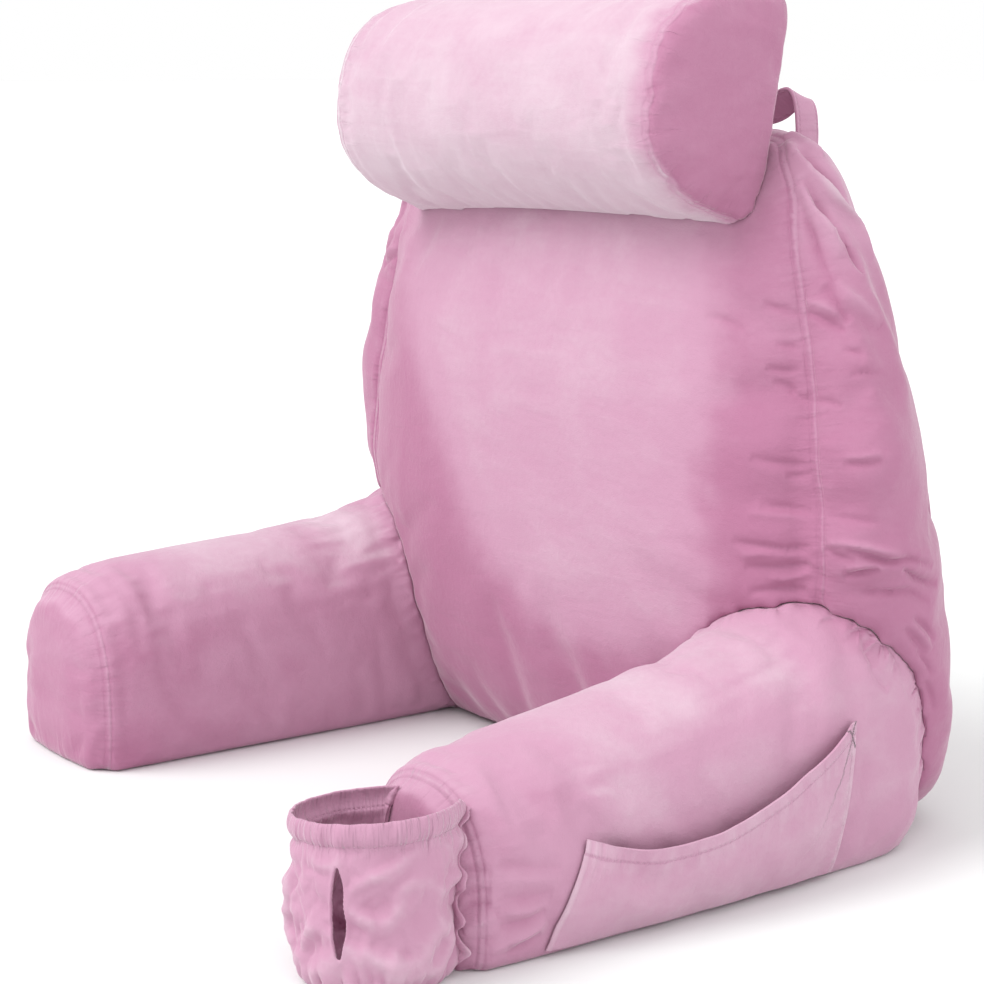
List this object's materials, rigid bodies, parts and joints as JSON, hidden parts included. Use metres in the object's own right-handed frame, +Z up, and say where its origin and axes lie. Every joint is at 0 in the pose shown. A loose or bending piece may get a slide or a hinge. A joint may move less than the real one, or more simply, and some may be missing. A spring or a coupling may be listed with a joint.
{
  "type": "reading pillow with arms",
  "caption": "Backrest pillow in short-pile plush: a crowned back with two arms, a D-section neck roll, a carry strap, a side pocket, a round elastic pouch and a rear pocket.",
  "frame": {"origin": "middle of the pillow's footprint, on the plane that it rests on", "axes": "+Z up, +Y towards the pillow's rear, so that it faces -Y, and +X towards the arm with the pocket and the pouch"},
  "size_m": [0.7153, 0.615, 0.6419],
  "materials": {
    "back_plush": "short-pile plush",
    "arm_plush": "short-pile plush",
    "roll_plush": "short-pile plush",
    "pocket_plush": "short-pile plush",
    "pouch_plush": "gathered short-pile plush with an elastic rim",
    "strap_plush": "folded plush strap"
  },
  "bodies": {
    "root": {"back_cushion": "back_plush", "arm_left": "arm_plush", "arm_right": "arm_plush", "neck_roll": "roll_plush", "handle_strap": "strap_plush", "rear_pocket": "pocket_plush", "side_pocket": "pocket_plush", "round_pouch": "pouch_plush"}
  },
  "joints": []
}
